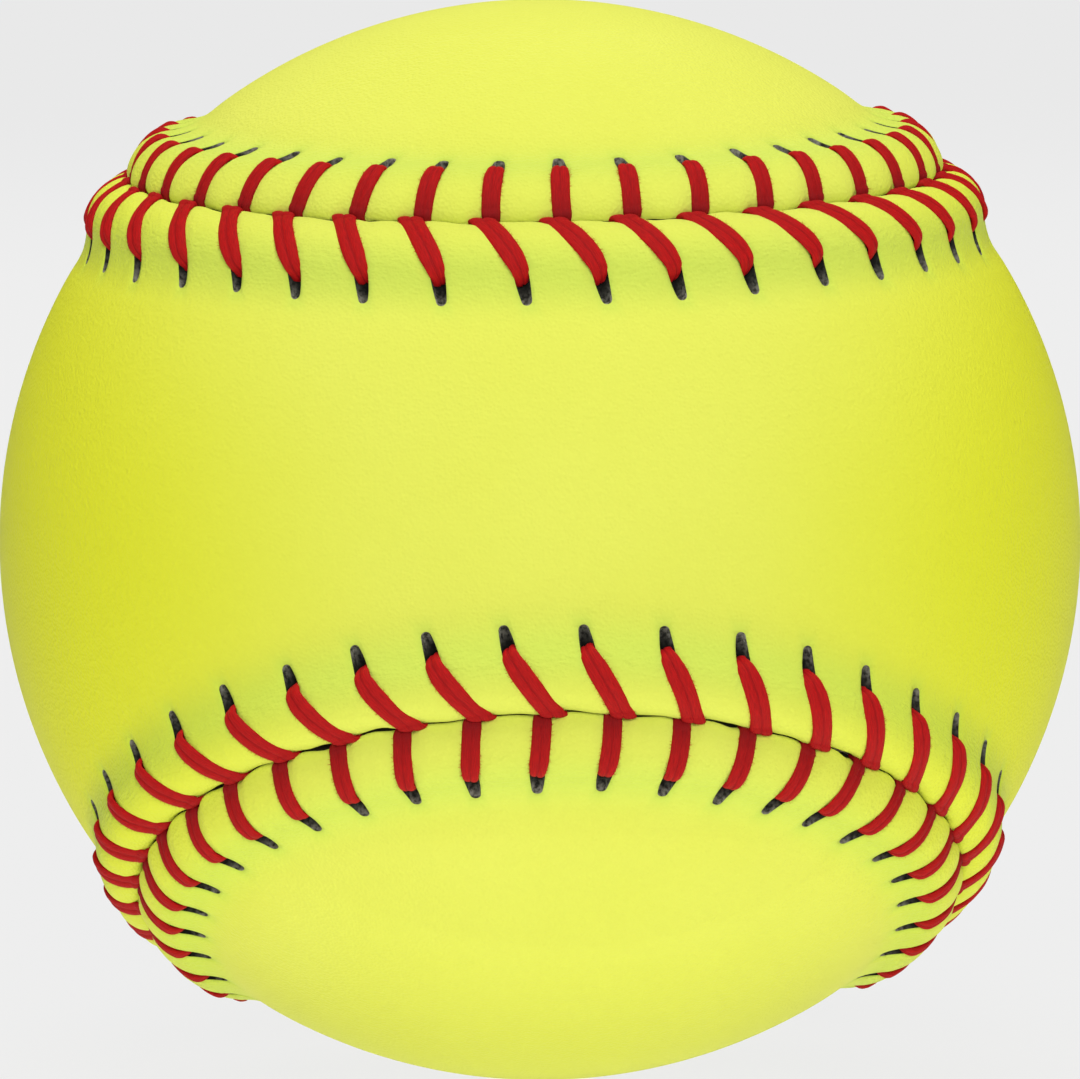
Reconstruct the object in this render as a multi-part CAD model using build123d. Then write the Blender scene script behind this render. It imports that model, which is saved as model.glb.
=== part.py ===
from build123d import *
from build123d.topology import SkipClean
import math
import os

# Twelve-inch raised-seam softball: a moulded core, its cement coat, two backed cover panels and two threads.
# The ball's centre is the origin, +Z is up and -Y faces the viewer.

# Cover and core, in millimetres
COVER_RADIUS = 48.2
FACE_THICKNESS = 0.6
BACKING_THICKNESS = 0.8
CEMENT_THICKNESS = 0.2

# Seam route: the width of the front panel's waist sets all four lobes
WAIST_WIDTH = 43.2
SEAM_TILT_DEGREES = 13.0
SEAM_GAP = 0.3

# Raised lips beside the seam
LIP_HEIGHT = 1.9
LIP_CREST = 3.0
LIP_RADIUS = 4.0
FOOT_RADIUS = 8.0

# Stitching
STITCH_COUNT = 88
THREAD_DIAMETER = 0.95
THREAD_CLEARANCE = 0.05
HOLE_CLEARANCE = 0.25
HOLE_DISTANCE = 5.9
HOLE_LENGTH = 3.8
HOLE_OFFSET = 0.2
FIRST_STITCH = 5.85
FRONT_LEAN = 3.75
BACK_LEAN = 0.45
CROSSING_SPACING = 1.15

# Values that follow from the ones above
SHELL_THICKNESS = FACE_THICKNESS + BACKING_THICKNESS
CEMENT_RADIUS = COVER_RADIUS - SHELL_THICKNESS
CORE_RADIUS = CEMENT_RADIUS - CEMENT_THICKNESS
THREAD_RADIUS = THREAD_DIAMETER / 2
HOLE_WIDTH = THREAD_DIAMETER + HOLE_CLEARANCE
BEND_RADIUS = 1.6 * THREAD_RADIUS
LIP_BEND = 0.75 * LIP_RADIUS
TURN_RUN = 3 * THREAD_RADIUS
UNDER_RADIUS = CEMENT_RADIUS + THREAD_RADIUS + THREAD_CLEARANCE
HALF_WAIST = WAIST_WIDTH / 2 / COVER_RADIUS


def lobe_lean(half_waist):
    """Angle by which each lobe's middle lies past the ball's equator, for a waist half this wide."""
    cosine = math.cos(2 * half_waist) + 0.5
    sine = math.sin(2 * half_waist)
    return (math.acos(0.5 / math.hypot(cosine, sine)) - math.atan2(sine, cosine)) / 2


LEAN = lobe_lean(HALF_WAIST)
LOBE_ANGLE = math.pi / 2 - LEAN - HALF_WAIST
SWEEP = math.pi + 2 * math.atan(math.sin(LEAN))
ARC_LENGTH = COVER_RADIUS * math.sin(LOBE_ANGLE) * SWEEP
STITCH_PITCH = 4 * ARC_LENGTH / STITCH_COUNT
LIP_CENTRE = COVER_RADIUS + LIP_HEIGHT - LIP_RADIUS
FOOT_CENTRE = COVER_RADIUS + FOOT_RADIUS
FOOT_SPREAD = math.acos(
    (LIP_CENTRE**2 + FOOT_CENTRE**2 - (LIP_RADIUS + FOOT_RADIUS) ** 2) / (2 * LIP_CENTRE * FOOT_CENTRE)
)
FOOT_ANGLE = LIP_CREST / COVER_RADIUS + FOOT_SPREAD


class Lobe:
    """One quarter of the seam: a circular arc about the middle of a panel's lobe."""

    def __init__(self, index):
        quarter = math.pi / 2 * index
        outward = Vector(math.cos(quarter), math.sin(quarter), 0)
        far = -1 if index % 2 == 0 else 1
        self.side = outward
        self.axis = outward * math.cos(LEAN) + Vector(0, 0, far * math.sin(LEAN))
        self.far = outward * -math.sin(LEAN) + Vector(0, 0, far * math.cos(LEAN))
        self.across = self.axis.cross(self.far)
        self.front = index % 2 == 0

    def spoke(self, turn):
        return self.far * math.cos(turn) + self.across * math.sin(turn)


LOBES = [Lobe(index) for index in range(4)]


def seam_point(along, aside, radius):
    """Point on the seam's own grid; aside is positive on the front panel."""
    index = math.floor(along / ARC_LENGTH) % 4
    lobe = LOBES[index]
    turn = (along % ARC_LENGTH) / ARC_LENGTH * SWEEP - SWEEP / 2
    reach = aside / COVER_RADIUS
    angle = LOBE_ANGLE - reach if lobe.front else LOBE_ANGLE + reach
    spoke = lobe.spoke(turn if lobe.front else -turn)
    return (lobe.axis * math.cos(angle) + spoke * math.sin(angle)) * radius


def polar(radius, angle):
    return Vector(radius * math.sin(angle), radius * math.cos(angle))


def layer_curve(depth, inward):
    """Lip and foot at one depth below the face, as two arcs in a plane through a lobe's axis, seam edge first."""
    lip = polar(LIP_CENTRE, LOBE_ANGLE - inward * LIP_CREST / COVER_RADIUS)
    foot = polar(FOOT_CENTRE, LOBE_ANGLE - inward * FOOT_ANGLE)
    edge_ray = polar(1, LOBE_ANGLE - inward * SEAM_GAP / 2 / COVER_RADIUS)
    ahead = lip.dot(edge_ray)
    edge = edge_ray * (ahead + math.sqrt(ahead**2 - lip.length**2 + LIP_RADIUS**2))
    lip_radius = LIP_RADIUS - depth
    start = lip + (edge - lip).normalized() * lip_radius
    crest = lip + lip.normalized() * lip_radius
    bend = lip + (foot - lip).normalized() * lip_radius
    ground = foot.normalized() * (COVER_RADIUS - depth)
    toward = ((bend - foot).normalized() + (ground - foot).normalized()).normalized()
    hollow = foot + toward * (FOOT_RADIUS + depth)
    return [ThreePointArc(start, crest, bend), ThreePointArc(bend, hollow, ground)]


def field_curve(depth, inward):
    """The plain sphere from a lip's foot to the lobe's middle or past the middle of the waist."""
    start = LOBE_ANGLE - inward * FOOT_ANGLE
    end = 0 if inward > 0 else 2 * LOBE_ANGLE + 0.1
    radius = COVER_RADIUS - depth
    return [ThreePointArc(polar(radius, start), polar(radius, (start + end) / 2), polar(radius, end))]


def spun_layer(lobe, curve, inward, top, bottom):
    """One lobe's share of a cover layer, turned about the lobe's axis through the seam's arc."""
    upper = curve(top, inward)
    lower = curve(bottom, inward)
    ends = [Line(upper[0] @ 0, lower[0] @ 0), Line(upper[-1] @ 1, lower[-1] @ 1)]
    spoke = lobe.spoke(-SWEEP / 2)
    plane = Plane(origin=(0, 0, 0), x_dir=spoke, z_dir=spoke.cross(lobe.axis))
    return revolve(plane * make_face(upper + lower + ends), Axis((0, 0, 0), lobe.axis), math.degrees(SWEEP))


def cover_layer(front, top, bottom, cutters):
    """A whole panel between two depths: the pierced lip all round and the plain field inside it."""
    lips = []
    fields = []
    for lobe in LOBES:
        inward = 1 if lobe.front == front else -1
        lips.append(spun_layer(lobe, layer_curve, inward, top, bottom))
        field = spun_layer(lobe, field_curve, inward, top, bottom)
        if inward < 0:
            field = split(field, bisect_by=Plane((0, 0, 0), z_dir=lobe.side), keep=Keep.TOP)
        fields.append(field)
    with SkipClean():
        ring = lips[0].fuse(*lips[1:], glue=True).cut(*cutters)
        return ring.fuse(*fields, glue=True)


def crossing(index):
    """Distance along the seam at which a stitch of the front panel goes down between the lips."""
    return FIRST_STITCH + index * STITCH_PITCH


def hole_place(index, front):
    if front:
        return crossing(index) - FRONT_LEAN
    return crossing(index) - CROSSING_SPACING - BACK_LEAN


def slot_cutter(middle, direction, length):
    plane = Plane(origin=middle, x_dir=direction, z_dir=middle)
    return extrude(plane * SlotOverall(length, HOLE_WIDTH), amount=LIP_HEIGHT + SHELL_THICKNESS, both=True)


def leg_slope(front):
    return (FRONT_LEAN if front else BACK_LEAN) / HOLE_DISTANCE


def needle_holes(front):
    """Long holes in line with the stitches that leave them."""
    side = 1 if front else -1
    slope = leg_slope(front)
    cutters = []
    for index in range(STITCH_COUNT):
        place = hole_place(index, front)
        inner = seam_point(place + slope, side * (HOLE_DISTANCE - 1), COVER_RADIUS)
        outer = seam_point(place - slope, side * (HOLE_DISTANCE + 1), COVER_RADIUS)
        centre = seam_point(place - slope * HOLE_OFFSET, side * (HOLE_DISTANCE + HOLE_OFFSET), COVER_RADIUS)
        cutters.append(slot_cutter(centre, outer - inner, HOLE_LENGTH))
    return cutters


def seam_notches():
    """Openings that the two threads press between the lips at each stitch."""
    cutters = []
    for index in range(STITCH_COUNT):
        middle = crossing(index) - CROSSING_SPACING / 2
        ahead = seam_point(middle + 1, 0, COVER_RADIUS)
        behind = seam_point(middle - 1, 0, COVER_RADIUS)
        centre = seam_point(middle, 0, COVER_RADIUS)
        cutters.append(slot_cutter(centre, ahead - behind, CROSSING_SPACING + HOLE_WIDTH))
    return cutters


def lip_path(wrap):
    """Distance from the seam and height above the cover of the thread's corners over a lip, hole first."""
    reach = LIP_RADIUS + THREAD_RADIUS + THREAD_CLEARANCE
    last = math.atan2(FOOT_SPREAD * COVER_RADIUS, LIP_RADIUS + FOOT_RADIUS)
    first = -math.asin((LIP_CREST - 0.1) / reach)
    step = (last - first) / wrap
    corners = [(HOLE_DISTANCE, last)]
    corners += [(None, last - (number + 0.5) * step) for number in range(wrap)]
    corners += [(0, first)]
    points = []
    for aside, bearing in corners:
        if aside is None:
            span = reach / math.cos(step / 2)
            points.append((LIP_CREST + span * math.sin(bearing), span * math.cos(bearing)))
        else:
            sideways = LIP_CREST + reach * math.sin(bearing)
            points.append((aside, reach * math.cos(bearing) - (aside - sideways) * math.tan(bearing)))
    return [(aside, LIP_CENTRE + height - COVER_RADIUS) for aside, height in points]


def stitch(index, front):
    """One stitch: out of a hole, over its lip, down the seam and under the other panel to the next hole."""
    side = 1 if front else -1
    slope = leg_slope(front)
    place = hole_place(index, front)
    dive = place + slope * HOLE_DISTANCE
    over = lip_path(3)
    middle_radius = (UNDER_RADIUS + COVER_RADIUS + over[0][1]) / 2
    points = [seam_point(place, side * HOLE_DISTANCE, middle_radius)]
    for aside, height in over:
        points.append(seam_point(place + slope * (HOLE_DISTANCE - aside), side * aside, COVER_RADIUS + height))
    points.append(seam_point(dive, 0, UNDER_RADIUS))
    next_place = hole_place(index + 1, not front)
    turn_aside = HOLE_DISTANCE - TURN_RUN
    turn_place = next_place + leg_slope(not front) * (HOLE_DISTANCE - turn_aside)
    points.append(seam_point((dive + turn_place) / 2, -side * turn_aside / 2, UNDER_RADIUS))
    points.append(seam_point(turn_place, -side * turn_aside, UNDER_RADIUS))
    points.append(seam_point(next_place, -side * HOLE_DISTANCE, UNDER_RADIUS))
    points.append(seam_point(next_place, -side * HOLE_DISTANCE, middle_radius))
    bends = [BEND_RADIUS, LIP_BEND, LIP_BEND, LIP_BEND, BEND_RADIUS, BEND_RADIUS, LIP_BEND, BEND_RADIUS, BEND_RADIUS]
    path = FilletPolyline(*points, radius=bends)
    return sweep(Plane(path @ 0, z_dir=path % 0) * Circle(THREAD_RADIUS), path=path)


def thread(offset):
    """A whole thread: every second stitch of the front panel and every second one of the back."""
    stitches = [stitch(index, (index + offset) % 2 == 0) for index in range(STITCH_COUNT)]
    return stitches[0].fuse(*stitches[1:])


def ball_parts():
    parts = {"core": Sphere(CORE_RADIUS)}
    parts["cement_film"] = Sphere(CEMENT_RADIUS) - Sphere(CORE_RADIUS)
    notches = seam_notches()
    for name, front in (("front_panel", True), ("back_panel", False)):
        cutters = needle_holes(front) + notches
        parts[name] = cover_layer(front, 0, FACE_THICKNESS, cutters)
        parts[name + "_backing"] = cover_layer(front, FACE_THICKNESS, SHELL_THICKNESS, cutters)
    parts["thread_one"] = thread(0)
    parts["thread_two"] = thread(1)
    return parts


os.makedirs("parts", exist_ok=True)
ATTITUDE = Rot(X=90 - SEAM_TILT_DEGREES)
for name, shape in ball_parts().items():
    placed = ATTITUDE * shape
    placed.label = name
    export_step(placed, f"parts/{name}.step")
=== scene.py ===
import bpy
import math
import numpy as np
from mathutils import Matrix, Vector
from mathutils.geometry import delaunay_2d_cdt


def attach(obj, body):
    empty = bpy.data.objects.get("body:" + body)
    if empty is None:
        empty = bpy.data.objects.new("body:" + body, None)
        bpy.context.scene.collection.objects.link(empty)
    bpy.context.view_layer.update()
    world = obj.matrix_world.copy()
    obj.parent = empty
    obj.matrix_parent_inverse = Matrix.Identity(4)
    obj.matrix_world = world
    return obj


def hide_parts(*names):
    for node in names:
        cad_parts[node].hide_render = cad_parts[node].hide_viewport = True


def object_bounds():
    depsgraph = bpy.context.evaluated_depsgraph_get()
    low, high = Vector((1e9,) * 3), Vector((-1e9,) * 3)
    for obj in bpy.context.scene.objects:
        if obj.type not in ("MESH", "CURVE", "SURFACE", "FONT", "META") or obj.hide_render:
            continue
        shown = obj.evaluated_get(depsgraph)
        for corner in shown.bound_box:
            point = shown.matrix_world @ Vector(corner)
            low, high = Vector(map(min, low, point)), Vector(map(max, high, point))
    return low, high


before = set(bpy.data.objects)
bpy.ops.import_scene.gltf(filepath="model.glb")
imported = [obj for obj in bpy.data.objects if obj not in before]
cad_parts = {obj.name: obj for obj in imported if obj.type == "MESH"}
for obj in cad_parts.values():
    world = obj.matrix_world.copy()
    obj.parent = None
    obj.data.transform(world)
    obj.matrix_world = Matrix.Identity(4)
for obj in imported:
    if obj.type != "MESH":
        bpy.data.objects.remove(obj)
cad_low, cad_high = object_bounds()

# The two panels, by the sign of a distance aside of the seam
FRONT = 1
BACK = -1

# Sizes shared with the solids, in millimetres
MM = 0.001
COVER_RADIUS = 48.2
WAIST_WIDTH = 43.2
SEAM_TILT_DEGREES = 13.0
LIP_HEIGHT = 1.9
LIP_CREST = 3.0
LIP_RADIUS = 4.0
FOOT_RADIUS = 8.0
STITCH_COUNT = 88
FRONT_LEAN = 3.75
BACK_LEAN = 0.45
FIRST_STITCH = 5.85
CROSSING_SPACING = 1.15
HOLE_DISTANCE = 5.9

# Needle holes: places aside of the seam and sizes in millimetres, taper and lean as shares
HOLE_EXIT = {FRONT: 5.53, BACK: 5.03}
HOLE_START = {FRONT: 5.25, BACK: 4.75}
HOLE_END = {FRONT: 7.45, BACK: 6.65}
HOLE_TAPER = 0.28
HOLE_RADIUS = 0.64
HOLE_DEPTH = 1.25
HOLE_LEAN_SHARE = 0.35
HOLE_BLEND = 0.9
RIM_DEPTH = 0.10
RIM_WIDTH = 0.45

# Depth of a hole: near its wall, along its length, and the ragged floor's waves along and aside
WALL_START = 1.75
WALL_FALL = 1.2
WALL_SHARE = 0.55
NEAR_DEPTH = 1.1
FAR_DEPTH_LOSS = 0.65
RAGGED_SIZE = 0.12
RAGGED_FIRST = (9.1, 7.3)
RAGGED_SECOND = (5.7, -11.9)

# Worked lips: crease at the foot, valleys under the stitches and puffs between them
CREASE_DEPTH = 0.08
CREASE_PLACE = 8.0
CREASE_WIDTH = 1.7
VALLEY_DEPTH = 0.5
VALLEY_WIDTH = 1.0
VALLEY_START = 1.25
VALLEY_FADE = 6.5
PUFF = {FRONT: 0.16, BACK: 0.28}
PUFF_START = 1.1
PUFF_FADE = 5.0
PUFF_WIDTH = 2.0
FOLD_COUNT = 9
FOLD_WAVES = (90, 420)
FOLD_SLOPE = 2.2
FOLD_PHASE = 6.28
FOLD_SIZES = (0.3, 1.0)
FOLD_HEIGHT = 0.012
FOLD_PLACE = 3.0
FOLD_REACH = 3.0

# Line where the lips meet: its waves, its scallop at each stitch and the gap along it
WAVE_COUNTS = (37, 53, 61, 131)
WAVE_SIZES = (0.5, 1.0)
WAVE_HEIGHT = 0.06
SCALLOP = 0.42
SCALLOP_SKEW = 0.6
SCALLOP_MIDDLE = 0.55
SEAM_FADE = 2.0
GAP_HALF = 0.03
GAP_CHANGE = 0.02
GAP_WAVES = 71
GAP_PHASE = 1.3
OPENING_SIZE = 0.3
OPENING_LOW = -0.6
OPENING_POWER = 3.5
OPENING_PLACE = 2.6
OPENING_LENGTH = 1.1

# Cover's mesh: the lip's rolled edge by distance aside and drop, the rows and columns, the field's points
ROLL_ASIDE = [0.0, 0.0, 0.0, 0.02, 0.06, 0.14, 0.28, 0.48]
ROLL_DROP = [2.1, 1.5, 0.9, 0.5, 0.26, 0.12, 0.04, 0.01]
ROLL_END = 0.7
GAP_DROP = 0.3
LIP_ROWS = 16
FOOT_ROWS = 16
HOLE_ROW_SHARES = np.concatenate([[0, 0.04], np.linspace(0.10, 0.90, 11), [0.96, 1]])
HOLE_COLUMN_SHARES = np.array([-1, -0.84, -0.42, 0, 0.42, 0.84, 1])
BETWEEN_COLUMNS = 17
BAND_WIDTH = 13.0
FIELD_POINTS = 22000
FIELD_MARGIN = 0.7
FENCE_STEP = 0.8
FAR_SIDE = -0.97
WELD = 1e-7
TINY = 1e-6
FAR = 99.0

# Tints stored on the cover: painted shade at the lips' foot and beside the gap by share, place and width, at
# hole rims and under the stitches; painted shade in the holes lifting to grey felt at their far ends;
# wrinkles; and painted shade deepening the yellow at the sides
PAINTED_SHADE_BANDS = ((0.75, 5.6, 2.6), (0.25, 0.0, 1.6))
RIM_PAINTED_SHADE = 0.4
PRESSED_PAINTED_SHADE = 0.4
PRESSED_WIDTH = 0.95
# Painted shade in the holes lifts towards grey felt at the far end and along the rim there
RIM_LIFT_NEAR = 0.75
RIM_LIFT_SHARE = 0.35
WRINKLE_PLACE = 4.8
WRINKLE_WIDTH = 2.0
# Painted shade that deepens the yellow towards the ball's two sides
SIDE_SHADE_START = 0.2
SIDE_SHADE_RANGE = 0.62
SIDE_SHADE_RISE_SHARE = 0.45
SIDE_SHADE_RISE_POWER = 1.5

# Threads, in millimetres
THREAD_WIDTH = {FRONT: 1.90, BACK: 1.64}
THREAD_HEIGHT = 0.62
THREAD_LIFT = 0.42
UNDER_HEIGHT = -0.85
UNDER_WIDTH = 1.1
UNDER_SHARES = (0.2, 0.4, 0.6, 0.8)
LEG_STEPS = 14
LEG_START = 0.53
LEG_TAPER = 0.18
LEG_TAPER_LENGTH = 1.28
SLANT_START = 0.4
SLANT_RANGE = 1.6
LINE_STEPS = 2
STEP_ALONG = 0.01
# Where a stitch leaves its hole: distance from there, sink and width
HOLE_ENTRY = [(0.0, 1.7, 0.70), (0.0, 1.0, 0.72), (-0.05, 0.5, 0.75), (-0.24, 0.14, 0.82)]
# Where it goes down between the lips: aside, sink, width and how much of its slant is left
GAP_ENTRY = {
    FRONT: [
        (0.52, 0.0, 1.0, 0.1),
        (0.38, 0.08, 1.0, 0),
        (0.29, 0.32, 1.0, 0),
        (0.25, 0.8, 0.98, 0),
        (0.22, 1.4, 0.9, 0),
    ],
    BACK: [(0.40, 0.08, 1.0, 1), (0.16, 0.34, 0.96, 1), (0.03, 0.8, 0.9, 1), (0.0, 1.4, 0.8, 1)],
}

# Thread's section: steps across both plies, how square it is, and the groove between the plies
SECTION_STEPS = np.array([0.5, 0.47, 0.36, 0.21, 0.07, 0, -0.07, -0.21, -0.36, -0.47, -0.5])
SECTION_POWER = 3
GROOVE_DEPTH = 0.4
GROOVE_WIDTH = 0.06

# Stray fibres, and the thread's painted shade with some dirt near the seam
HAIRS_PER_STITCH = 60
HAIR_WIDTH = 0.045
HAIR_LENGTH = 0.28
HAIR_ROOT = 0.46
HAIR_LEAN = 1.2
HAIR_LIFT = (-0.1, 0.7)
HAIR_REACH = (0.4, 1.3)
HAIR_PLACES = (0.5, 4.8)
HAIR_LOWEST = 0.2
HAIR_STRAND = 0.4
# Painted shade with some dirt on the thread near the seam: its share on the front legs and its reach on each
# side
FRONT_SHADE_AND_GRIME = 0.3
SHADE_AND_GRIME_REACH = {FRONT: 0.8, BACK: 1.5}

# Hand sewing: middle, spread and evenness of the stitches' crossing, lean, bow and hole end
CROSSING_SPREAD = (0.14, 0.6)
BACK_DIVE_SPREAD = (0.12, 0.6)
SEWING = {
    FRONT: {
        "lean": (FRONT_LEAN, 0.35, 1.2),
        "bow": (-0.26, 0.10, 1.0),
        "end": (HOLE_END[FRONT], 0.12, 0.5),
    },
    BACK: {
        "lean": (BACK_LEAN, 0.6, 1.5),
        "bow": (0.0, 0.12, 1.0),
        "end": (HOLE_END[BACK], 0.15, 0.5),
    },
}
NEIGHBOURS = 3
MEAN_LEG_SHIFT = 2.0

# Colours, as linear light
COVER_YELLOW = (0.705, 0.735, 0.10)
COVER_YELLOW_PALE = (0.73, 0.76, 0.125)
# Deeper, less blue yellow painted as shade at the ball's two sides
COVER_YELLOW_SIDE_SHADE = (0.69, 0.715, 0.032)
# Greener, darker yellow painted as shade at the lips' foot, beside the gap, at hole rims and under the
# stitches
COVER_YELLOW_PAINTED_SHADE = (0.43, 0.65, 0.10)
LEATHER_GLOSS = (1.0, 1.0, 0.0)
# Near-black painted shade inside the needle holes, and the cut felt's grey it lifts to at their far ends
FELT_PAINTED_SHADE = (0.004, 0.004, 0.003)
FELT_CUT_GREY = (0.26, 0.25, 0.20)
GAP_DARK = (0.02, 0.02, 0.010)
THREAD_RED = (0.54, 0.008, 0.008)
THREAD_RED_DARK = (0.34, 0.006, 0.006)
# Dark red painted as shade in the groove between the plies, and as shade with some dirt near the seam
THREAD_RED_SHADE_AND_GRIME = (0.17, 0.005, 0.007)
FOAM_TAN = (0.60, 0.52, 0.33)
PALE_GREY = (0.855, 0.855, 0.855)
FLOOR_WHITE = (0.8, 0.8, 0.8)

# How far the stored tints colour the materials, and the leather's relief
# How strongly the painted shade greens and darkens the leather
PAINTED_SHADE_TINT = 0.5
PEBBLE_SCALE = 3200
WRINKLE_RELIEF = 2.5
# Least lift of the holes' painted shade towards the felt's grey
HOLE_LIFT_LEAST = 0.15
# How dark the groove's painted shade is
GROOVE_SHADE_TINT = 0.4
# How dark the thread's painted shade with some dirt gets near the seam
SHADE_AND_GRIME_TINT = 0.85

# Lamps: place and width in metres, power in watts, whether gloss shows it
LAMPS = [
    ("front_lamp", (0.06, -2.0, 0.75), 1.5, 32.5, True),
    ("back_lamp", (-0.06, 1.3, 1.15), 1.0, 18.0, False),
    ("top_lamp", (0.0, -0.2, 1.0), 0.6, 6.0, True),
    ("table_lamp", (0.0, -0.1, -0.62), 0.5, 2.2, True),
]
SURROUND_STRENGTH = 0.05
FLOOR_SIZE = 40
FLOOR_GLOW_SHARE = 0.95

# Camera: distance in ball radii, angles in degrees, the ball's radius as a share of the frame's width
CAMERA_DISTANCE = 16.0
CAMERA_AZIMUTH = -1.5
CAMERA_ELEVATION = 5.0
CAMERA_ROLL = 0.9
SENSOR_WIDTH = 36
BALL_SHARE = 0.5005
CLIP_START = 0.01

rng = np.random.default_rng(12)

# Seam route: four equal arcs about the middles of the panels' lobes
LOBE_COUNT = 4
HALF_WAIST = WAIST_WIDTH / 2 / COVER_RADIUS
SPREAD_COS = math.cos(2 * HALF_WAIST) + 0.5
SPREAD_SIN = math.sin(2 * HALF_WAIST)
LEAN = (math.acos(0.5 / math.hypot(SPREAD_COS, SPREAD_SIN)) - math.atan2(SPREAD_SIN, SPREAD_COS)) / 2
LOBE_ANGLE = math.pi / 2 - LEAN - HALF_WAIST
SWEEP = math.pi + 2 * math.atan(math.sin(LEAN))
ARC_LENGTH = COVER_RADIUS * math.sin(LOBE_ANGLE) * SWEEP
SEAM_LENGTH = LOBE_COUNT * ARC_LENGTH
PITCH = SEAM_LENGTH / STITCH_COUNT


def bell(value, width):
    """One at nought, fading evenly both ways over this width."""
    return np.exp(-((value / width) ** 2))


def unit(vectors):
    """Vectors brought to a length of one."""
    return vectors / np.linalg.norm(vectors, axis=1)[:, None]


def tilted(vectors):
    """Turns vectors from the seam's own axes to the ball's."""
    angle = math.radians(90 - SEAM_TILT_DEGREES)
    x, y, z = np.moveaxis(np.asarray(vectors, float), -1, 0)
    turned_y = y * math.cos(angle) - z * math.sin(angle)
    turned_z = y * math.sin(angle) + z * math.cos(angle)
    return np.stack([x, turned_y, turned_z], -1)


def lobe_vectors():
    """Each lobe's axis, and the direction from it to its far end."""
    axes, fars = [], []
    for index in range(LOBE_COUNT):
        quarter = math.pi / 2 * index
        outward = np.array([math.cos(quarter), math.sin(quarter), 0])
        pole = np.array([0, 0, -1 if index % 2 == 0 else 1])
        axes.append(outward * math.cos(LEAN) + pole * math.sin(LEAN))
        fars.append(pole * math.cos(LEAN) - outward * math.sin(LEAN))
    return tilted(axes), tilted(fars)


LOBE_AXES, LOBE_FARS = lobe_vectors()
LOBE_ACROSS = np.cross(LOBE_AXES, LOBE_FARS)


def lobe_at(along):
    """Number of the lobe at a distance along the seam, and which way the seam turns about it."""
    index = np.floor(along / ARC_LENGTH).astype(int) % LOBE_COUNT
    return index, np.where(index % 2 == 0, 1.0, -1.0)


def seam_directions(along, aside):
    """Unit vectors to points on the seam's grid; aside is positive on the front panel."""
    along, aside = np.broadcast_arrays(np.asarray(along, float), np.asarray(aside, float))
    index, sign = lobe_at(along)
    turn = (along % ARC_LENGTH) / ARC_LENGTH * SWEEP - SWEEP / 2
    angle = LOBE_ANGLE - sign * aside / COVER_RADIUS
    turn = sign * turn
    spoke = LOBE_FARS[index] * np.cos(turn)[..., None] + LOBE_ACROSS[index] * np.sin(turn)[..., None]
    return LOBE_AXES[index] * np.cos(angle)[..., None] + spoke * np.sin(angle)[..., None]


def seam_points(along, aside, height):
    """Points in metres at a height in millimetres above the cover's sphere."""
    return seam_directions(along, aside) * (COVER_RADIUS + np.asarray(height, float))[..., None] * MM


def along_scale(along, aside):
    """How much longer a step along the seam is at this distance aside of it."""
    _, sign = lobe_at(along)
    return np.sin(LOBE_ANGLE - sign * aside / COVER_RADIUS) / math.sin(LOBE_ANGLE)


def uneven(middle, spread, evenness):
    """A value for each stitch, with seeded differences that neighbours share more the evener they are."""
    values = rng.standard_normal(STITCH_COUNT)
    kernel = np.exp(-0.5 * (np.arange(-NEIGHBOURS, NEIGHBOURS + 1) / evenness) ** 2)
    padded = np.concatenate([values[-NEIGHBOURS:], values, values[:NEIGHBOURS]])
    return middle + spread * np.convolve(padded, kernel / math.sqrt((kernel**2).sum()), "valid")


def seeded_fold():
    """One set of small folds: its waves round the seam, slope, phase and size."""
    waves = int(rng.integers(*FOLD_WAVES))
    slope = rng.uniform(-FOLD_SLOPE, FOLD_SLOPE)
    phase = rng.uniform(0, FOLD_PHASE)
    return waves, slope, phase, rng.uniform(*FOLD_SIZES)


# Seeded values, drawn in this order: stitches, waves, openings of the gap and folds
crossing = uneven(FIRST_STITCH + np.arange(STITCH_COUNT) * PITCH, *CROSSING_SPREAD)
stitches = {FRONT: {"dive": crossing}}
stitches[FRONT].update({name: uneven(*values) for name, values in SEWING[FRONT].items()})
stitches[BACK] = {"dive": uneven(crossing - CROSSING_SPACING, *BACK_DIVE_SPREAD)}
stitches[BACK].update({name: uneven(*values) for name, values in SEWING[BACK].items()})
WAVES = [(count, rng.uniform(0, 2 * math.pi), rng.uniform(*WAVE_SIZES)) for count in WAVE_COUNTS]
OPENINGS = OPENING_SIZE * np.maximum(rng.uniform(OPENING_LOW, 1.0, STITCH_COUNT), 0) ** OPENING_POWER
FOLDS = [seeded_fold() for _ in range(FOLD_COUNT)]


def leg_place(side, number, aside):
    """Distance along the seam of a leg's middle line at a distance aside of the seam."""
    data = stitches[side]
    share = aside / HOLE_DISTANCE
    return data["dive"][number] - data["lean"][number] * share + data["bow"][number] * 4 * share * (1 - share)


def leg_slope(side, number, aside):
    """How far a leg runs along the seam for each millimetre aside of it."""
    data = stitches[side]
    share = aside / HOLE_DISTANCE
    return (4 * data["bow"][number] * (1 - 2 * share) - data["lean"][number]) / HOLE_DISTANCE


def leg_distance(side, along, aside):
    """Distance to the nearest leg's middle line, measured square to the leg."""
    best = np.full(np.broadcast(along, aside).shape, FAR)
    reach = np.clip(aside, 0, HOLE_DISTANCE)
    base = np.round((along + MEAN_LEG_SHIFT - FIRST_STITCH) / PITCH).astype(int)
    for shift in (-1, 0, 1):
        number = base + shift
        wrapped = number % STITCH_COUNT
        place = leg_place(side, wrapped, reach) + (number - wrapped) * PITCH
        slope = stitches[side]["lean"][wrapped] / HOLE_DISTANCE
        gap = (along - place) * along_scale(along, side * aside) / np.hypot(1, slope)
        best = np.where(np.abs(gap) < np.abs(best), gap, best)
    return best


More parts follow.
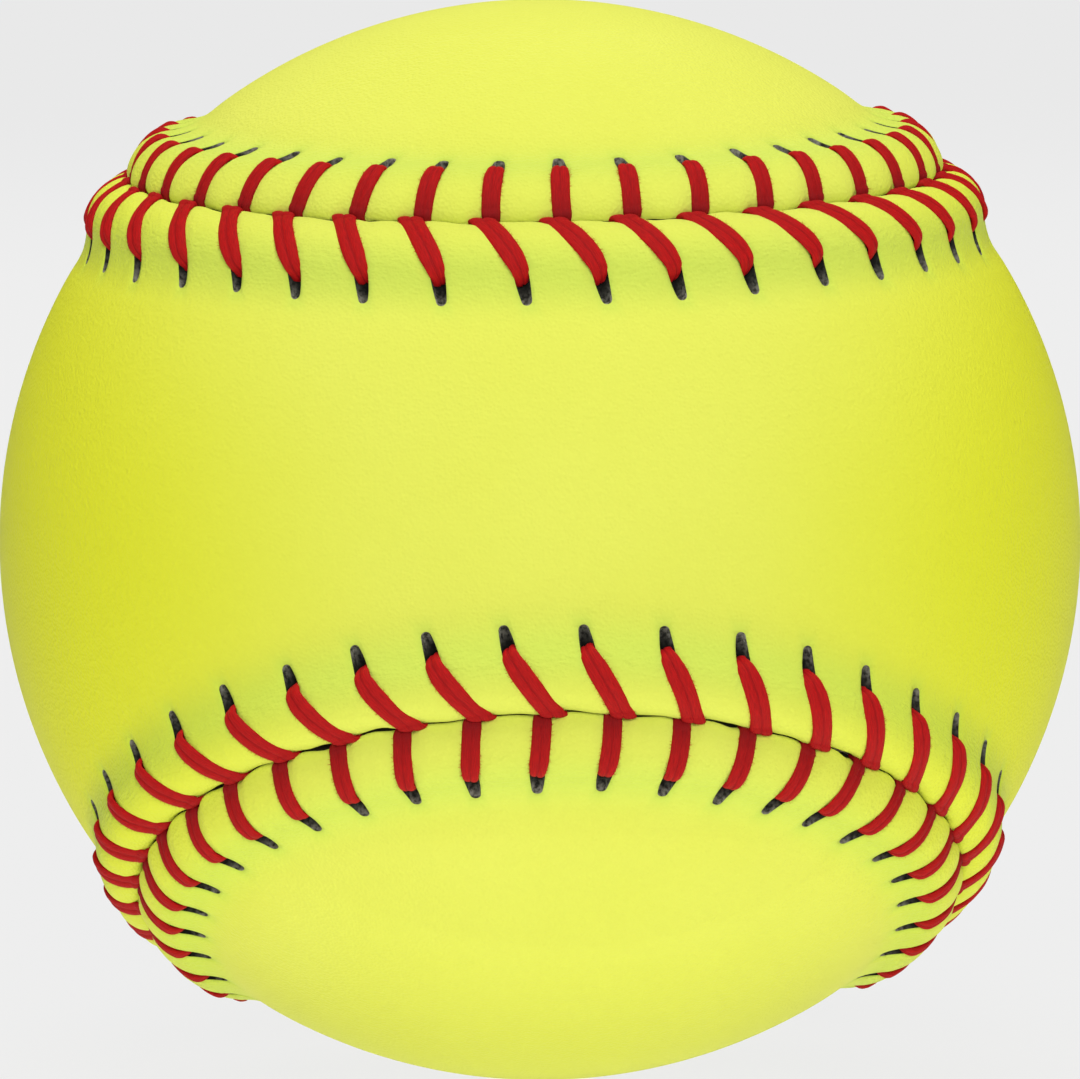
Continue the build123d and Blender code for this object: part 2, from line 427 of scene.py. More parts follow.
def slot_axis(side, number, aside):
    """A needle hole's middle line, which leans less than the leg: distance along the seam, and slope."""
    slope = HOLE_LEAN_SHARE * stitches[side]["lean"][number] / HOLE_DISTANCE
    return leg_place(side, number, HOLE_START[side]) - slope * (aside - HOLE_START[side]), slope


def column_line(side, number, aside):
    """A leg's middle line as far as its hole, then the hole's."""
    start = HOLE_START[side]
    axis, _ = slot_axis(side, number, aside)
    return np.where(aside < start, leg_place(side, number, np.minimum(aside, start)), axis)


def seam_wave(along):
    """Sideways wander of the line where the lips meet."""
    total = np.zeros_like(along)
    for count, phase, size in WAVES:
        total += size * np.sin(2 * math.pi * count * along / SEAM_LENGTH + phase)
    share = ((along - FIRST_STITCH) / PITCH) % 1
    return WAVE_HEIGHT * total + SCALLOP * (np.sin(math.pi * share**SCALLOP_SKEW) - SCALLOP_MIDDLE)


def seam_opening(along):
    """Half the width of the gap between the lips, wider beside some of the stitches."""
    width = GAP_HALF + GAP_CHANGE * np.sin(2 * math.pi * GAP_WAVES * along / SEAM_LENGTH + GAP_PHASE)
    for place, size in zip(crossing, OPENINGS):
        offset = (along - place + OPENING_PLACE + SEAM_LENGTH / 2) % SEAM_LENGTH - SEAM_LENGTH / 2
        width = width + size * bell(offset, OPENING_LENGTH)
    return width


def lip_profile(aside):
    """Height of the lip and its foot above the sphere."""
    lip_centre = COVER_RADIUS + LIP_HEIGHT - LIP_RADIUS
    foot_centre = COVER_RADIUS + FOOT_RADIUS
    spread = math.acos(
        (lip_centre**2 + foot_centre**2 - (LIP_RADIUS + FOOT_RADIUS) ** 2) / (2 * lip_centre * foot_centre)
    )
    bend = LIP_CREST + spread * COVER_RADIUS * LIP_RADIUS / (LIP_RADIUS + FOOT_RADIUS)
    lip_angle = (aside - LIP_CREST) / COVER_RADIUS
    lip = lip_centre * np.cos(lip_angle)
    lip = lip + np.sqrt(np.maximum(LIP_RADIUS**2 - (lip_centre * np.sin(lip_angle)) ** 2, 0))
    foot_angle = lip_angle - spread
    foot = foot_centre * np.cos(foot_angle)
    foot = foot - np.sqrt(np.maximum(FOOT_RADIUS**2 - (foot_centre * np.sin(foot_angle)) ** 2, 0))
    height = np.where(aside < bend, lip, foot) - COVER_RADIUS
    return np.where(lip_angle > spread, 0.0, height) - CREASE_DEPTH * bell(aside - CREASE_PLACE, CREASE_WIDTH)


def surface_height(side, along, aside):
    """Height of the worked cover: the lip, pressed in under each stitch and puffed between them."""
    distance = leg_distance(side, along, aside)
    held = np.clip(VALLEY_START - aside / VALLEY_FADE, 0, 1)
    puffed = PUFF[side] * np.clip(PUFF_START - aside / PUFF_FADE, 0, 1)
    height = lip_profile(aside) - VALLEY_DEPTH * held * bell(distance, VALLEY_WIDTH)
    height = height + puffed * (1 - bell(distance, PUFF_WIDTH))
    rough = np.zeros_like(height)
    for count, slope, phase, size in FOLDS:
        rough += size * np.sin(2 * math.pi * count * along / SEAM_LENGTH + slope * aside + phase)
    return height + FOLD_HEIGHT * rough * bell(aside - FOLD_PLACE, FOLD_REACH)


def profile_rows(side, end):
    """Rows across a lip, seam first, for holes that end here: distance aside, depth below the worked
    surface, and the first and last row of the hole."""
    every = np.zeros_like(end)[..., None]
    start = HOLE_START[side] - HOLE_RADIUS
    stop = end[..., None] + HOLE_RADIUS
    rolled = np.array(ROLL_ASIDE) + every
    lip = np.linspace(ROLL_END, start, LIP_ROWS, endpoint=False) + every
    hole = start + (stop - start) * HOLE_ROW_SHARES
    rest = stop + (BAND_WIDTH - stop) * np.linspace(0, 1, FOOT_ROWS + 1)[1:]
    aside = np.concatenate([rolled, lip, hole, rest], -1)
    drop = np.zeros_like(aside)
    drop[..., : len(ROLL_DROP)] = ROLL_DROP
    first = len(ROLL_DROP) + LIP_ROWS
    return aside, drop, first, first + len(HOLE_ROW_SHARES) - 1


def grid_columns(side):
    """Columns that run along each leg and its hole, with even ones between neighbours."""
    hole_columns = len(HOLE_COLUMN_SHARES)
    here = np.arange(STITCH_COUNT)[:, None, None]
    ahead = (here + 1) % STITCH_COUNT
    turn = np.where(ahead == 0, SEAM_LENGTH, 0)
    ends = stitches[side]["end"]
    even = np.arange(1, BETWEEN_COLUMNS + 1) / (BETWEEN_COLUMNS + 1)
    share = np.concatenate([np.zeros(hole_columns), even])
    end = ends[:, None] * (1 - share) + np.roll(ends, -1)[:, None] * share
    aside, drop, first, last = profile_rows(side, end)
    share = share[:, None]
    line = column_line(side, here, aside)
    following = column_line(side, ahead, aside) + turn
    widen = 1 / along_scale(line, side * aside)
    left = line + HOLE_RADIUS * widen
    right = following - HOLE_RADIUS / along_scale(following, side * aside)
    offset = np.concatenate([HOLE_COLUMN_SHARES * HOLE_RADIUS, np.zeros(BETWEEN_COLUMNS)])[:, None]
    along = np.where(share > 0, left + (right - left) * share, line + offset * widen)
    owner = np.where(share < 0.5, here, ahead) + np.zeros_like(along, int)
    owner_turn = np.where(share < 0.5, 0, turn) + np.zeros_like(along)
    inside = np.zeros(along.shape, bool)
    inside[:, 1 : hole_columns - 1, first + 1 : last] = True
    return along, aside, drop, owner, owner_turn, inside


def round_holes(side, along, aside, owner, owner_turn):
    """Moves the grid so that each hole's outline is a slot with round ends; says how near each point is."""
    end = stitches[side]["end"][owner]
    middle = (HOLE_START[side] + end) / 2
    axis, slope = slot_axis(side, owner, aside)
    centre, _ = slot_axis(side, owner, middle)
    scale = along_scale(along, side * aside)
    sideways = (along - owner_turn - axis) * scale
    half = (end - HOLE_START[side]) / 2 + HOLE_RADIUS
    near = np.maximum(np.abs(sideways) / HOLE_RADIUS, np.abs(aside - middle) / half)
    near = np.maximum(near, TINY)
    across = (along - owner_turn - centre) * scale / near
    up = (aside - middle) / near
    stretch = np.hypot(1, slope)
    lean_across, lean_up = -slope / stretch, 1 / stretch
    reach = half - HOLE_RADIUS
    run = np.clip(across * lean_across + up * lean_up, -reach, reach)
    out_across, out_up = across - run * lean_across, up - run * lean_up
    length = np.maximum(np.hypot(out_across, out_up), TINY)
    move = np.where(near <= 1, near, np.clip(1 - (near - 1) / HOLE_BLEND, 0, 1))
    narrow = 1 - HOLE_TAPER * (0.5 + 0.5 * run / reach) ** 2
    shift = (narrow * HOLE_RADIUS / length - 1) * move
    return along + out_across * shift / scale, aside + out_up * shift, near


def wave(along, aside, rates):
    """A wave over the worked cover, with its rates along the seam and aside of it."""
    return np.sin(along * rates[0] + aside * rates[1])


def band(side):
    """The panel's worked border: a grid of points, flags for holes and the gap, and values for its tints,
    which hold painted shade.
    """
    along, aside, drop, owner, owner_turn, inside = grid_columns(side)
    along, aside, near = round_holes(side, along, aside, owner, owner_turn)
    rim = bell(np.maximum(near - 1, 0), RIM_WIDTH) * (drop == 0)
    height = surface_height(side, along, aside) - drop - RIM_DEPTH * rim
    ragged = wave(along, aside, RAGGED_FIRST) * wave(along, aside, RAGGED_SECOND)
    deep = np.clip(WALL_START - WALL_FALL * near, WALL_SHARE, 1) * (1 + RAGGED_SIZE * ragged)
    exit_place = HOLE_EXIT[side]
    far_end = np.clip((aside - exit_place) / (HOLE_END[side] + HOLE_RADIUS - exit_place), 0, 1)
    floor = height - HOLE_DEPTH * deep * (NEAR_DEPTH - FAR_DEPTH_LOSS * far_end)
    fade = np.exp(-aside / SEAM_FADE)
    shifted = side * (aside + seam_opening(along) * fade) + seam_wave(along) * fade
    # Painted shade: under the stitches, at hole rims, at the lips' foot and beside the gap
    pressed = bell(leg_distance(side, along, aside), PRESSED_WIDTH) * (aside < HOLE_START[side])
    hollow_shade = sum(share * bell(aside - place, width) for share, place, width in PAINTED_SHADE_BANDS)
    grid = {
        "points": seam_points(along, shifted, np.where(inside, floor, height)),
        "inside": inside,
        "gap": drop > GAP_DROP,
        "painted_shade": np.clip(RIM_PAINTED_SHADE * rim + PRESSED_PAINTED_SHADE * pressed + hollow_shade, 0, 1),
        # Painted shade in the holes: none near the thread, lifting towards grey at the far end
        "hole_shade_lift": np.clip(far_end**2 + RIM_LIFT_SHARE * far_end * (near > RIM_LIFT_NEAR), 0, 1),
        "wrinkled": bell(aside - WRINKLE_PLACE, WRINKLE_WIDTH),
        "place": np.stack([along, aside, np.full_like(along, side)], -1),
    }
    columns = along.shape[0] * along.shape[1]
    return {name: values.reshape(columns, along.shape[2], -1).squeeze() for name, values in grid.items()}


def enclosed(spots, fence):
    """Which flat spots lie inside a closed fence of straight pieces."""
    odd = np.zeros(len(spots), bool)
    for start, end in zip(fence, np.roll(fence, -1, 0)):
        crosses = (start[1] > spots[:, 1]) != (end[1] > spots[:, 1])
        if start[1] != end[1]:
            meet = start[0] + (spots[:, 1] - start[1]) * (end[0] - start[0]) / (end[1] - start[1])
            odd ^= crosses & (spots[:, 0] < meet)
    return odd


def field(side, border):
    """Fills a panel inside its border with even triangles on the sphere."""
    waist = tilted([0, 0, side])
    right = np.array([1.0, 0, 0])
    up = np.cross(waist, right)

    def flat(points):
        rays = unit(points)
        return np.stack([rays @ right, rays @ up], 1) / (1 + rays @ waist)[:, None]

    counter = np.arange(FIELD_POINTS) + 0.5
    polar = np.arccos(1 - 2 * counter / FIELD_POINTS)
    turn = math.pi * (1 + math.sqrt(5)) * counter
    cloud = np.stack([np.cos(turn) * np.sin(polar), np.sin(turn) * np.sin(polar), np.cos(polar)], 1)
    cloud = cloud[cloud @ waist > FAR_SIDE]
    fence_along = np.arange(0, SEAM_LENGTH, FENCE_STEP)
    fence_aside = np.full(len(fence_along), side * (BAND_WIDTH + FIELD_MARGIN))
    fence = flat(seam_directions(fence_along, fence_aside))
    inner = cloud[enclosed(flat(cloud), fence)] * COVER_RADIUS * MM
    every = np.concatenate([border, inner])
    count = len(border)
    edges = [(index, (index + 1) % count) for index in range(count)]
    result = delaunay_2d_cdt([Vector(spot) for spot in flat(every)], edges, [], 1, WELD)
    origin = [group[0] for group in result[3]]
    faces = np.array([[origin[corner] for corner in face] for face in result[2]])
    corners = every[faces]
    normal = np.cross(corners[:, 1] - corners[:, 0], corners[:, 2] - corners[:, 0])
    inward = (normal * corners.mean(1)).sum(1) < 0
    faces[inward] = faces[inward][:, ::-1]
    return inner, faces


def new_mesh(name, points, faces, materials, material_index=None):
    """A smooth object of these points and faces, with a material's number for each face."""
    mesh = bpy.data.meshes.new(name)
    mesh.from_pydata([tuple(point) for point in points], [], [tuple(int(v) for v in face) for face in faces])
    for material in materials:
        mesh.materials.append(material)
    if material_index is not None:
        mesh.polygons.foreach_set("material_index", np.asarray(material_index, np.int32))
    mesh.polygons.foreach_set("use_smooth", np.ones(len(mesh.polygons), bool))
    mesh.update()
    item = bpy.data.objects.new(name, mesh)
    bpy.context.scene.collection.objects.link(item)
    return item


def add_attribute(mesh, name, values):
    """Stores one value or vector for each point of a mesh."""
    values = np.asarray(values, np.float32)
    kind, field_name = ("FLOAT", "value") if values.ndim == 1 else ("FLOAT_VECTOR", "vector")
    mesh.attributes.new(name, kind, "POINT").data.foreach_set(field_name, values.reshape(-1))


def painted_side_shade(points):
    """How much painted shade deepens the yellow at each point: most at the ball's two sides, none above and
    below.
    """
    across, _, upward = np.abs(points.T) / (COVER_RADIUS * MM)
    outward = np.clip((across - SIDE_SHADE_RISE_SHARE * upward**SIDE_SHADE_RISE_POWER - SIDE_SHADE_START) / SIDE_SHADE_RANGE, 0, 1)
    return outward**2 * (3 - 2 * outward)


def cover(name, side, materials):
    """A whole cover panel: the worked border with its holes, and the plain field."""
    grid = band(side)
    columns, rows = grid["inside"].shape
    index = np.arange(columns * rows).reshape(columns, rows)
    after = np.roll(index, -1, 0)
    quads = np.stack([index[:, :-1], after[:, :-1], after[:, 1:], index[:, 1:]], -1).reshape(-1, 4)
    flat_points = grid["points"].reshape(-1, 3)
    corners = flat_points[quads]
    normal = np.cross(corners[:, 2] - corners[:, 0], corners[:, 3] - corners[:, 1])
    if (normal * corners.mean(1)).sum() < 0:
        quads = quads[:, ::-1]
    holes = grid["inside"].reshape(-1)[quads].any(1)
    dark = grid["gap"].reshape(-1)[quads].all(1)
    kinds = np.where(holes, 1, np.where(dark, 2, 0))
    inner, triangles = field(side, grid["points"][:, -1])
    lookup = np.concatenate([index[:, -1], columns * rows + np.arange(len(inner))])
    faces = [tuple(face) for face in quads] + [tuple(face) for face in lookup[triangles]]
    kinds = np.concatenate([kinds, np.zeros(len(triangles), int)])
    points = np.concatenate([flat_points, inner])
    item = new_mesh(name, points, faces, materials, kinds)
    # Painted shade at the ball's sides, stored as deep
    add_attribute(item.data, "deep", painted_side_shade(points))
    # Stored painted shade, the holes' painted shade lift and the wrinkles' reach
    for attribute in ("painted_shade", "hole_shade_lift", "wrinkled"):
        values = grid[attribute].reshape(-1)
        add_attribute(item.data, attribute, np.concatenate([values, np.zeros(len(inner))]))
    places = grid["place"].reshape(-1, 3)
    add_attribute(item.data, "place", np.concatenate([places, np.zeros((len(inner), 3))]))
    return item


def leg_height(side, along, aside):
    """Height of a thread's middle line over the worked cover."""
    return float(surface_height(side, np.array(along), np.array(aside))) + THREAD_LIFT * THREAD_HEIGHT


def stitch_path(number, side):
    """One stitch's middle line: along, aside, height, width and slope, from its hole to near the next one."""
    path = []

    def add(aside, sink, width, held, slant=1):
        along = leg_place(side, number, aside)
        height = leg_height(side, leg_place(side, number, held), held) - sink
        lean = leg_slope(side, number, held)
        turned = lean * slant
        width = width * THREAD_WIDTH[side] * math.hypot(1, lean) * math.hypot(1, turned) / (1 + lean * turned)
        path.append((along, side * aside, height, width, side * turned))

    exit_place = HOLE_EXIT[side]
    for inward, sink, width in HOLE_ENTRY:
        add(exit_place + inward, sink, width, exit_place + inward)
    for aside in np.linspace(exit_place - LEG_START, ROLL_END, LEG_STEPS):
        slant = 1 if side == BACK else min(1, (aside - SLANT_START) / SLANT_RANGE)
        add(aside, 0, 1 - LEG_TAPER * max(0, aside - exit_place + LEG_TAPER_LENGTH), aside, slant)
    for aside, sink, width, slant in GAP_ENTRY[side]:
        add(aside, sink, width, ROLL_END, slant)
    dive = stitches[side]["dive"][number]
    following = (number + 1) % STITCH_COUNT
    turn = SEAM_LENGTH if following == 0 else 0
    entry = HOLE_EXIT[-side]
    target = leg_place(-side, following, entry) + turn
    slope = (target - dive) / (-side * entry)
    for share in UNDER_SHARES:
        path.append((dive + (target - dive) * share, -side * entry * share, UNDER_HEIGHT, UNDER_WIDTH, slope))
    return path


def smooth_line(points, steps):
    """A rounded line through points, as a chain of cubic pieces."""
    points = np.asarray(points)
    before = np.concatenate([points[:1], points[:-1]])
    ahead = np.concatenate([points[1:], points[-1:]])
    further = np.concatenate([points[2:], points[-1:], points[-1:]])
    out = []
    for share in np.arange(steps) / steps:
        a = -0.5 * share + share**2 - 0.5 * share**3
        b = 1 - 2.5 * share**2 + 1.5 * share**3
        c = 0.5 * share + 2 * share**2 - 1.5 * share**3
        d = -0.5 * share**2 + 0.5 * share**3
        out.append(a * before + b * points + c * ahead + d * further)
    return np.stack(out, 1).reshape(-1, points.shape[1])[: -steps + 1]


def thread_section():
    """Outline of two plies lying side by side, in shares of the thread's width and height."""
    rounded = 0.5 * np.sqrt(1 - np.abs(2 * SECTION_STEPS) ** SECTION_POWER)
    rise = rounded * (1 - GROOVE_DEPTH * bell(SECTION_STEPS, GROOVE_WIDTH))
    top = np.stack([SECTION_STEPS, rise], 1)
    return np.concatenate([top, (top * [1, -1])[-2:0:-1]])


def hairs(points, sideways, radial, width, chosen):
    """Stray fibres at the edges of the stitches, each a thin triangle; three points for each."""
    spots = rng.choice(chosen, HAIRS_PER_STITCH * STITCH_COUNT)
    edge = rng.choice([-1.0, 1.0], len(spots))[:, None]
    out = sideways[spots] * edge
    base = points[spots] + out * (HAIR_ROOT * width[spots, None] * MM)
    forward = np.cross(radial[spots], out)
    lean = rng.uniform(-HAIR_LEAN, HAIR_LEAN, (len(spots), 1))
    lift = rng.uniform(*HAIR_LIFT, (len(spots), 1))
    reach = HAIR_LENGTH * rng.uniform(*HAIR_REACH, (len(spots), 1))
    tip = base + (out + forward * lean + radial[spots] * lift) * reach * MM
    half = forward * (HAIR_WIDTH / 2 * MM)
    return np.stack([base - half, base + half, tip], 1).reshape(-1, 3)


def thread(name, offset, material):
    """A whole thread: every second stitch of each panel, sewn through in one run."""
    route = []
    for number in range(STITCH_COUNT):
        route += stitch_path(number, FRONT if (number + offset) % 2 == 0 else BACK)
    along, aside, height, width, slope = smooth_line(route, LINE_STEPS).T
    aside = aside + seam_wave(along) * np.exp(-np.abs(aside) / SEAM_FADE)
    points = seam_points(along, aside, height)
    radial = seam_directions(along, aside)
    tangent = unit(np.gradient(points, axis=0))
    ahead = unit(seam_directions(along + STEP_ALONG, aside) - seam_directions(along - STEP_ALONG, aside))
    sideways = unit(ahead - np.cross(radial, ahead) * slope[:, None])
    upward = unit(np.cross(tangent, sideways))
    section = thread_section()
    across = section[None, :, :1] * width[:, None, None]
    raised = section[None, :, 1:] * THREAD_HEIGHT
    rings = points[:, None] + (sideways[:, None] * across + upward[:, None] * raised) * MM
    count, corners = len(points), len(section)
    index = np.arange(count * corners).reshape(count, corners)
    beside = np.roll(index, -1, 1)
    quads = np.stack([index[:-1], beside[:-1], beside[1:], index[1:]], -1).reshape(-1, 4)
    apart = np.abs(aside)
    showing = np.nonzero((apart > HAIR_PLACES[0]) & (apart < HAIR_PLACES[1]) & (height > HAIR_LOWEST))[0]
    fibres = hairs(points, sideways, radial, width, showing)
    triangles = count * corners + np.arange(len(fibres)).reshape(-1, 3)
    faces = [tuple(face) for face in quads] + [tuple(index[0][::-1]), tuple(index[-1])]
    faces += [tuple(face) for face in triangles]
    item = new_mesh(name, np.concatenate([rings.reshape(-1, 3), fibres]), faces, [material])
    run = np.concatenate([[0], np.cumsum(np.linalg.norm(np.diff(points, axis=0), axis=1))]) / MM
    strand = np.stack([np.repeat(run, corners), across.reshape(-1), np.zeros(count * corners)], 1)
    # Painted shade with some dirt where the thread goes down to the seam, strongest on the back panel's legs
    front_shade_and_grime = FRONT_SHADE_AND_GRIME * np.exp(-aside / SHADE_AND_GRIME_REACH[FRONT])
    shade_and_grime = np.where(aside > 0, front_shade_and_grime, np.exp(-apart / SHADE_AND_GRIME_REACH[BACK]))
    add_attribute(item.data, "strand", np.concatenate([strand, np.full((len(fibres), 3), HAIR_STRAND)]))
    add_attribute(item.data, "shade_and_grime", np.concatenate([np.repeat(shade_and_grime, corners), np.zeros(len(fibres))]))
    return item


def plain_material(name, colour, roughness, specular=0.5, tint=(1, 1, 1)):
    """A material of one colour, with its node tree and shader."""
    material = bpy.data.materials.new(name)
    material.use_nodes = True
    shader = material.node_tree.nodes["Principled BSDF"]
    shader.inputs["Base Color"].default_value = (*colour, 1)
    shader.inputs["Roughness"].default_value = roughness
    shader.inputs["Diffuse Roughness"].default_value = roughness
    shader.inputs["Specular IOR Level"].default_value = specular
    shader.inputs["Specular Tint"].default_value = (*tint, 1)
    return material, material.node_tree, shader


def noise(tree, vector, scale, detail, stretch=(1, 1, 1)):
    """A noise texture on a vector, stretched first; gives its value."""
    mapping = tree.nodes.new("ShaderNodeMapping")
    mapping.inputs["Scale"].default_value = stretch
    texture = tree.nodes.new("ShaderNodeTexNoise")
    texture.inputs["Scale"].default_value = scale
    texture.inputs["Detail"].default_value = detail
    tree.links.new(vector, mapping.inputs["Vector"])
    tree.links.new(mapping.outputs["Vector"], texture.inputs["Vector"])
    return texture.outputs["Fac"]


def own_place(tree):
    """Each point's place in the piece's own axes."""
    return tree.nodes.new("ShaderNodeTexCoord").outputs["Object"]


def stored(tree, name, output="Fac"):
    """A value or vector stored on the mesh's points."""
    attribute = tree.nodes.new("ShaderNodeAttribute")
    attribute.attribute_name = name
    return attribute.outputs[output]


def blend(tree, factor, first, second):
    """Mixes two colours, each a tuple or another node's output."""
    mix = tree.nodes.new("ShaderNodeMix")
    mix.data_type = "RGBA"
    tree.links.new(factor, mix.inputs["Factor"])
    for socket, colour in (("A", first), ("B", second)):
        if isinstance(colour, tuple):
            mix.inputs[socket].default_value = (*colour, 1)
        else:
            tree.links.new(colour, mix.inputs[socket])
    return mix.outputs["Result"]


def sums(tree, operation, first, second):
    """One step of arithmetic on two values, each a number or another node's output."""
    step = tree.nodes.new("ShaderNodeMath")
    step.operation = operation
    for socket, value in zip(step.inputs, (first, second)):
        if isinstance(value, (int, float)):
            socket.default_value = value
        else:
            tree.links.new(value, socket)
    return step.outputs["Value"]


def spread(tree, value, low, high):
    """Stretches a range of values to run from nought to one."""
    step = tree.nodes.new("ShaderNodeMapRange")
    step.inputs["From Min"].default_value = low
    step.inputs["From Max"].default_value = high
    tree.links.new(value, step.inputs["Value"])
    return step.outputs["Result"]


def raise_surface(tree, shader, height, strength, distance):
    """Gives a shader a fine relief from a height, over a distance in metres."""
    bump = tree.nodes.new("ShaderNodeBump")
    bump.inputs["Strength"].default_value = strength
    bump.inputs["Distance"].default_value = distance
    tree.links.new(height, bump.inputs["Height"])
    tree.links.new(bump.outputs["Normal"], shader.inputs["Normal"])


def leather():
    """Grained optic yellow face, with painted shade deepening the yellow at the ball's sides and greener
    painted shade beside the seam, which is finely wrinkled.
    """
    material, tree, shader = plain_material(
        "cover_leather", COVER_YELLOW, roughness=0.5, specular=0.06, tint=LEATHER_GLOSS
    )
    where = own_place(tree)
    tint = blend(tree, noise(tree, where, scale=70, detail=3), COVER_YELLOW, COVER_YELLOW_PALE)
    # Painted shade at the ball's sides, from the stored deep value
    tint = blend(tree, stored(tree, "deep"), tint, COVER_YELLOW_SIDE_SHADE)
    # Painted shade from the stored values, greener and darker at the lips' foot, rims and under the stitches
    painted_shade_share = sums(tree, "MULTIPLY", stored(tree, "painted_shade"), PAINTED_SHADE_TINT)
    tree.links.new(blend(tree, painted_shade_share, tint, COVER_YELLOW_PAINTED_SHADE), shader.inputs["Base Color"])
    pebble = tree.nodes.new("ShaderNodeTexVoronoi")
    pebble.inputs["Scale"].default_value = PEBBLE_SCALE
    tree.links.new(where, pebble.inputs["Vector"])
    creases = noise(tree, stored(tree, "place", "Vector"), scale=1, detail=3, stretch=(1.1, 3.2, 1))
    creases = sums(tree, "MULTIPLY", creases, stored(tree, "wrinkled"))
    grain = sums(tree, "ADD", pebble.outputs["Distance"], noise(tree, where, scale=1300, detail=3))
    height = sums(tree, "ADD", grain, sums(tree, "MULTIPLY", creases, WRINKLE_RELIEF))
    raise_surface(tree, shader, height, strength=0.5, distance=0.00013)
    return material


def felt():
    """Felted backing seen in the needle holes, near-black as painted shade, lifting to the cut felt's grey at
    their far ends.
    """
    material, tree, shader = plain_material("cover_felt", FELT_PAINTED_SHADE, roughness=0.9, specular=0.1)
    fibres = spread(tree, noise(tree, own_place(tree), scale=2600, detail=4), low=0.36, high=0.64)
    # Painted shade near the thread, lifting to grey felt at the far end
    hole_shade_lift = sums(tree, "MULTIPLY", stored(tree, "hole_shade_lift"), sums(tree, "ADD", fibres, HOLE_LIFT_LEAST))
    tree.links.new(blend(tree, hole_shade_lift, FELT_PAINTED_SHADE, FELT_CUT_GREY), shader.inputs["Base Color"])
    return material


def waxed_thread():
    """Red thread of two plies, streaked along its fibres, with painted shade in the groove and painted shade
    with some dirt near the seam.
    """
    material, tree, shader = plain_material("waxed_thread", THREAD_RED, roughness=0.7, specular=0.12)
    strand = stored(tree, "strand", "Vector")
    across = tree.nodes.new("ShaderNodeSeparateXYZ")
    tree.links.new(strand, across.inputs["Vector"])
    # Painted shade in the groove between the plies
    groove = spread(tree, sums(tree, "ABSOLUTE", across.outputs["Y"], 0), low=0.16, high=0.0)
    streaks = noise(tree, strand, scale=1, detail=4, stretch=(1.3, 12, 1))
    colour = blend(tree, spread(tree, streaks, low=0.3, high=0.7), THREAD_RED_DARK, THREAD_RED)
    # Painted shade with some dirt near the seam
    shade_and_grime = sums(tree, "MULTIPLY", stored(tree, "shade_and_grime"), SHADE_AND_GRIME_TINT)
    shadow = sums(tree, "MAXIMUM", sums(tree, "MULTIPLY", groove, GROOVE_SHADE_TINT), shade_and_grime)
    tree.links.new(blend(tree, shadow, colour, THREAD_RED_SHADE_AND_GRIME), shader.inputs["Base Color"])
    raise_surface(tree, shader, streaks, strength=0.8, distance=0.00012)
    return material


def core_foam():
    """Moulded foam, seen only where the cover is taken off."""
    material, tree, shader = plain_material("core_foam", FOAM_TAN, roughness=0.8)
    pores = noise(tree, own_place(tree), scale=900, detail=2)
    raise_surface(tree, shader, pores, strength=0.4, distance=0.0002)
    return material


def dress():
    """The object: two covers and two threads over the core and its cement."""
    face = leather()
    backing = felt()
    gap = plain_material("gap_shadow", GAP_DARK, roughness=0.9, specular=0.1)[0]
    red = waxed_thread()
    for name, side in (("front", FRONT), ("back", BACK)):
        piece = cover(f"{name}_cover", side, [face, backing, gap])
        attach(piece, "root")
        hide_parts(f"{name}_panel", f"{name}_panel_backing")
    for name, offset in (("thread_one", 0), ("thread_two", 1)):
        piece = thread(f"{name}_plies", offset, red)
        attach(piece, "root")
        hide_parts(name)
    foam = core_foam()
    for name in ("core", "cement_film"):
        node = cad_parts[name]
        node.data.materials.clear()
        node.data.materials.append(foam)


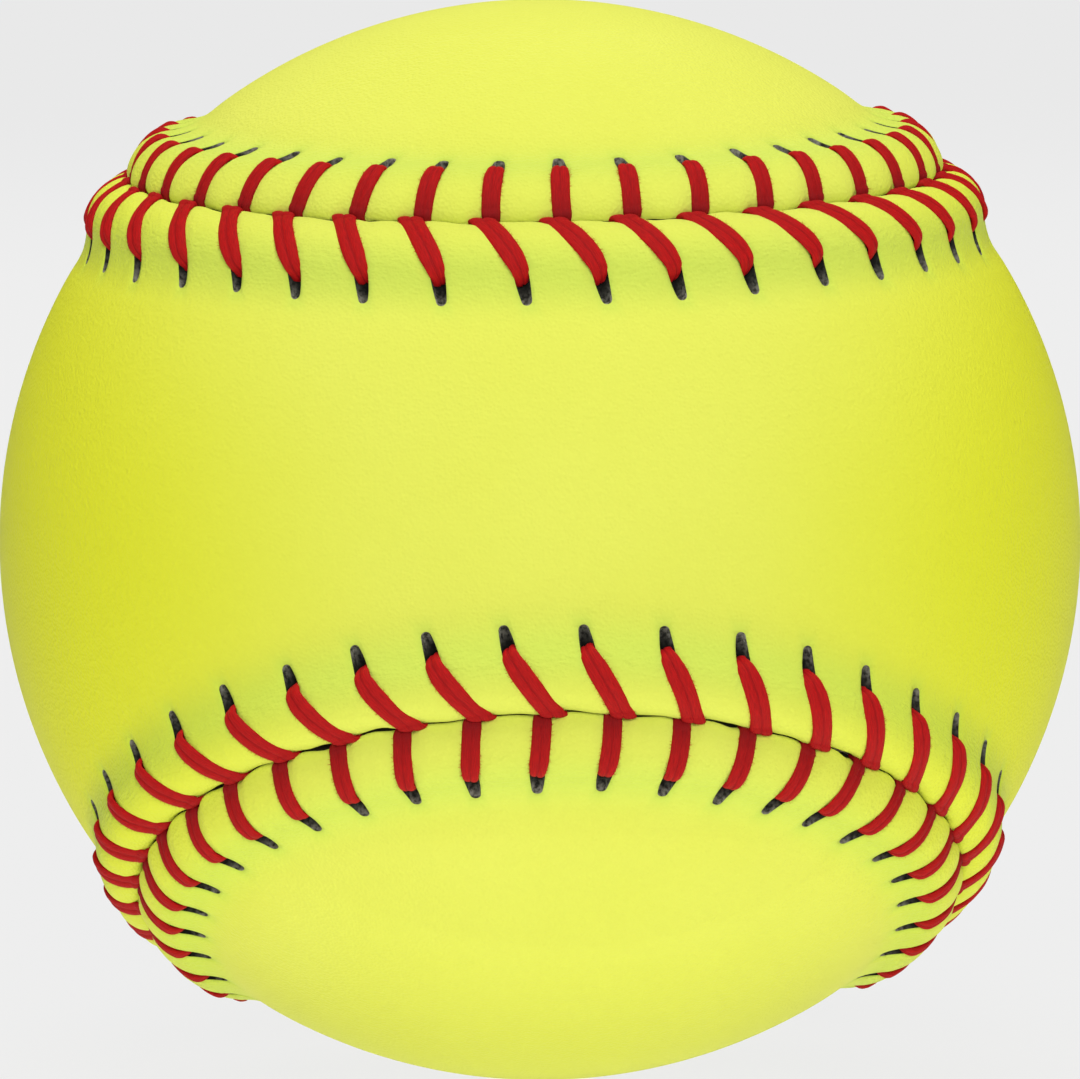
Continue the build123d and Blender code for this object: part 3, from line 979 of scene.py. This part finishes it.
def pale_surface(share):
    """A white table that shows the camera an even pale grey and keeps a soft shadow."""
    material = bpy.data.materials.new("pale_table")
    material.use_nodes = True
    tree = material.node_tree
    tree.nodes.clear()
    matt = tree.nodes.new("ShaderNodeBsdfDiffuse")
    matt.inputs["Color"].default_value = (*FLOOR_WHITE, 1)
    glow = tree.nodes.new("ShaderNodeEmission")
    glow.inputs["Color"].default_value = (*PALE_GREY, 1)
    path = tree.nodes.new("ShaderNodeLightPath")
    seen = sums(tree, "MAXIMUM", path.outputs["Is Camera Ray"], path.outputs["Is Glossy Ray"])
    seen = sums(tree, "MAXIMUM", seen, path.outputs["Is Transmission Ray"])
    mix = tree.nodes.new("ShaderNodeMixShader")
    tree.links.new(sums(tree, "MULTIPLY", seen, share), mix.inputs["Fac"])
    tree.links.new(matt.outputs["BSDF"], mix.inputs[1])
    tree.links.new(glow.outputs["Emission"], mix.inputs[2])
    tree.links.new(mix.outputs["Shader"], tree.nodes.new("ShaderNodeOutputMaterial").inputs["Surface"])
    return material


def studio():
    """A pale table that lets the lamp under it through, soft lamps and an even surround."""
    bpy.ops.mesh.primitive_plane_add(size=FLOOR_SIZE, location=(0, 0, cad_low[2]))
    floor = bpy.context.object
    floor.name = "floor"
    floor.data.materials.append(pale_surface(FLOOR_GLOW_SHARE))
    floor.visible_shadow = False
    world = bpy.data.worlds.new("surround")
    bpy.context.scene.world = world
    world.use_nodes = True
    ground = world.node_tree.nodes["Background"]
    ground.inputs["Color"].default_value = (*PALE_GREY, 1)
    ground.inputs["Strength"].default_value = SURROUND_STRENGTH
    for name, place, size, power, glossy in LAMPS:
        lamp = bpy.data.lights.new(name, "AREA")
        lamp.shape = "DISK"
        lamp.size = size
        lamp.energy = power
        item = bpy.data.objects.new(name, lamp)
        item.location = place
        item.visible_glossy = glossy
        item.rotation_euler = (-Vector(place)).to_track_quat("-Z", "Y").to_euler()
        bpy.context.scene.collection.objects.link(item)


def photo_camera():
    """Looks at the ball as the photo does, with the ball's outline touching the frame's edges."""
    data = bpy.data.cameras.new("camera")
    camera = bpy.data.objects.new("camera", data)
    distance = CAMERA_DISTANCE * COVER_RADIUS * MM
    azimuth = math.radians(CAMERA_AZIMUTH)
    elevation = math.radians(CAMERA_ELEVATION)
    away = Vector((math.sin(azimuth), -math.cos(azimuth), 0)) * math.cos(elevation)
    camera.location = (away + Vector((0, 0, math.sin(elevation)))) * distance
    camera.rotation_euler = (-camera.location).to_track_quat("-Z", "Y").to_euler()
    camera.rotation_euler.rotate_axis("Z", math.radians(-CAMERA_ROLL))
    data.sensor_width = SENSOR_WIDTH
    data.lens = SENSOR_WIDTH * BALL_SHARE * math.sqrt(CAMERA_DISTANCE**2 - 1)
    data.clip_start = CLIP_START
    bpy.context.scene.collection.objects.link(camera)
    bpy.context.scene.camera = camera


dress()
studio()
photo_camera()
bpy.context.scene.view_settings.view_transform = "Standard"
